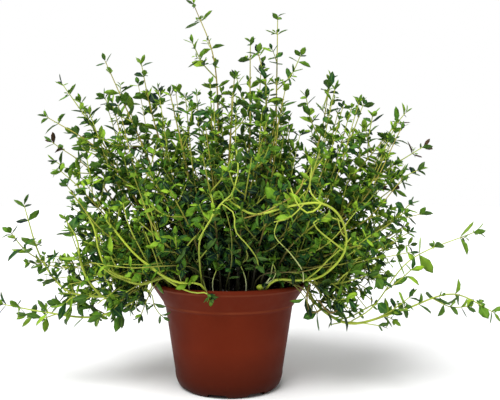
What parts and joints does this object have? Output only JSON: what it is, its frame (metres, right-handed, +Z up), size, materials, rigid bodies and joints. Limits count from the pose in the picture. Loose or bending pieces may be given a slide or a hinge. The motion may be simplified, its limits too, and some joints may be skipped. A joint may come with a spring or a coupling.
{
  "type": "potted thyme",
  "caption": "Bushy thyme plant with wiry leafy stems that fan out and trail over the rim of a round tapered plastic nursery pot filled with soil.",
  "frame": {"origin": "on the surface that the pot stands on, at the centre of the pot's base", "axes": "+Z up; +X to the plant's right and +Y to its back, as seen from its front"},
  "size_m": [0.3764, 0.2233, 0.2995],
  "materials": {
    "pot": "satin moulded plastic, terracotta red-brown",
    "soil": "moist dark peat compost with pale specks of perlite",
    "thyme": "small green leaves, a little waxy, on yellow-green to tan wiry stems"
  },
  "bodies": {
    "root": {"pot": "pot", "soil": "soil", "stem_back_1": "thyme", "stem_back_2": "thyme", "stem_back_3": "thyme", "stem_back_4": "thyme", "stem_back_5": "thyme", "stem_back_6": "thyme", "stem_crown_back": "thyme", "stem_crown_centre": "thyme", "stem_crown_front": "thyme", "stem_crown_front_left": "thyme", "stem_crown_front_right": "thyme", "stem_crown_tall_left": "thyme", "stem_crown_tall_right": "thyme", "stem_far_back_1": "thyme", "stem_far_back_2": "thyme", "stem_far_back_3": "thyme", "stem_far_back_4": "thyme", "stem_far_back_5": "thyme", "stem_fore_1": "thyme", "stem_fore_2": "thyme", "stem_fore_3": "thyme", "stem_fore_4": "thyme", "stem_fore_5": "thyme", "stem_fore_6": "thyme", "stem_front_1": "thyme", "stem_front_2": "thyme", "stem_front_3": "thyme", "stem_front_4": "thyme", "stem_front_5": "thyme", "stem_front_6": "thyme", "stem_left_arching": "thyme", "stem_left_long": "thyme", "stem_left_low": "thyme", "stem_left_lowest": "thyme", "stem_left_tall_inner": "thyme", "stem_left_tall_outer": "thyme", "stem_left_wide": "thyme", "stem_rear_1": "thyme", "stem_rear_2": "thyme", "stem_rear_3": "thyme", "stem_rear_4": "thyme", "stem_rear_5": "thyme", "stem_rear_6": "thyme", "stem_rear_7": "thyme", "stem_right_back": "thyme", "stem_right_inner": "thyme", "stem_right_long": "thyme", "stem_right_low": "thyme", "stem_right_lowest": "thyme", "stem_right_tall": "thyme", "stem_right_wide": "thyme", "stem_runner_left": "thyme", "stem_runner_loop": "thyme", "stem_trail_left_arc": "thyme", "stem_trail_left_forked": "thyme", "stem_trail_left_low": "thyme", "stem_trail_right_forked": "thyme", "stem_trail_right_short": "thyme"}
  },
  "joints": []
}
